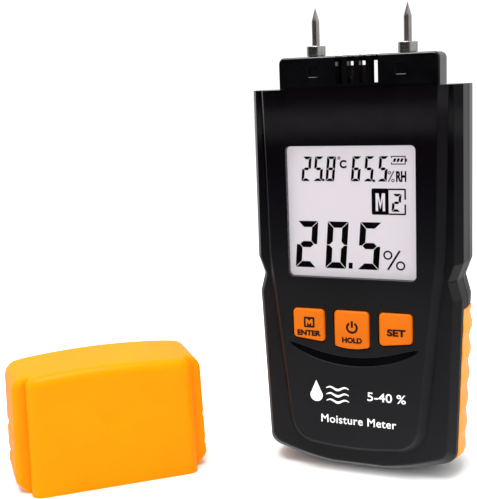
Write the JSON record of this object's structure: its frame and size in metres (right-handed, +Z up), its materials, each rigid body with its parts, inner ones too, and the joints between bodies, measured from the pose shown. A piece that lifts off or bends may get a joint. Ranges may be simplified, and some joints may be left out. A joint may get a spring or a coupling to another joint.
{
  "type": "moisture meter",
  "caption": "Hand-held pin-type moisture meter with a display, push keys, rubber side grips, a battery door and a separate protective cap that stands beside it.",
  "frame": {"origin": "middle of the flat land under the meter, on the surface that the meter stands on", "axes": "+Z up along the meter towards its pins; the display faces -Y; +X is to the right as the display is read"},
  "size_m": [0.1453, 0.0764, 0.148],
  "materials": {
    "housing_black": "fine moulded texture, semi-matt",
    "head_black": "polished moulded ABS",
    "grip_orange": "satin soft-touch elastomer",
    "cap_orange": "semi-gloss moulded plastic",
    "key_orange": "satin, printed legends",
    "carbon_black": "conductive pill",
    "window_clear": "clear polished acrylic",
    "lcd_grey": "reflective polariser",
    "frame_black": "matt",
    "diffuser_white": "diffusing",
    "silicone_grey": "matt silicone",
    "board_green": "solder mask",
    "chip_black": "moulded epoxy",
    "screw_steel": "zinc plated",
    "pin_steel": "ground and polished steel",
    "nickel_plate": "bright nickel, turned",
    "lug_brass": "stamped",
    "lead_white": "PVC insulation",
    "lead_red": "PVC insulation",
    "lead_black": "PVC insulation",
    "battery_jacket": "printed steel jacket",
    "snap_black": "vinyl"
  },
  "bodies": {
    "meter": {"front_shell": "housing_black", "rear_shell": "housing_black", "grip_left": "grip_orange", "grip_right": "grip_orange", "case_screw_1": "screw_steel", "case_screw_2": "screw_steel", "case_screw_3": "screw_steel", "case_screw_4": "screw_steel", "display_window": "window_clear", "lcd_frame": "frame_black", "lcd_panel": "lcd_grey", "light_guide": "diffuser_white", "zebra_connector": "frame_black", "keypad_mat": "silicone_grey", "main_board": "board_green", "board_screw_1": "screw_steel", "board_screw_2": "screw_steel", "board_screw_3": "screw_steel", "board_screw_4": "screw_steel", "controller_chip": "chip_black", "quartz_can": "screw_steel", "buzzer": "chip_black", "capacitor": "chip_black", "sensor_head": "head_black", "pin_left": "pin_steel", "pin_socket_left": "nickel_plate", "pin_nut_left": "nickel_plate", "contact_lug_left": "lug_brass", "pin_lead_left": "lead_white", "pin_right": "pin_steel", "pin_socket_right": "nickel_plate", "pin_nut_right": "nickel_plate", "contact_lug_right": "lug_brass", "pin_lead_right": "lead_white", "humidity_board": "board_green", "humidity_sensor": "chip_black", "sensor_cable": "lead_white", "battery_9v": "battery_jacket", "battery_snap": "snap_black", "battery_lead_red": "lead_red", "battery_lead_black": "lead_black"},
    "enter_key": {"key_enter": "key_orange", "key_pill_enter": "carbon_black"},
    "power_key": {"key_power": "key_orange", "key_pill_power": "carbon_black"},
    "set_key": {"key_set": "key_orange", "key_pill_set": "carbon_black"},
    "door": {"battery_door": "housing_black"},
    "cap": {"protective_cap": "cap_orange"}
  },
  "joints": [
    {"name": "enter_press", "type": "slide", "parent": "meter", "child": "enter_key", "axis": [0, 1, 0], "range_m": [0, 0.0008], "stiffness_N_per_m": 1200},
    {"name": "power_press", "type": "slide", "parent": "meter", "child": "power_key", "axis": [0, 1, 0], "range_m": [0, 0.0008], "stiffness_N_per_m": 1200},
    {"name": "set_press", "type": "slide", "parent": "meter", "child": "set_key", "axis": [0, 1, 0], "range_m": [0, 0.0008], "stiffness_N_per_m": 1200},
    {"name": "door_swing", "type": "hinge", "parent": "meter", "child": "door", "pos_m": [0, 0.0135, 0.008], "axis": [-1, 0, 0], "range_deg": [0, 75]},
    {"name": "cap_lift", "type": "slide", "parent": "meter", "child": "cap", "axis": [0, 0, 1], "range_m": [0, 0.15]}
  ]
}
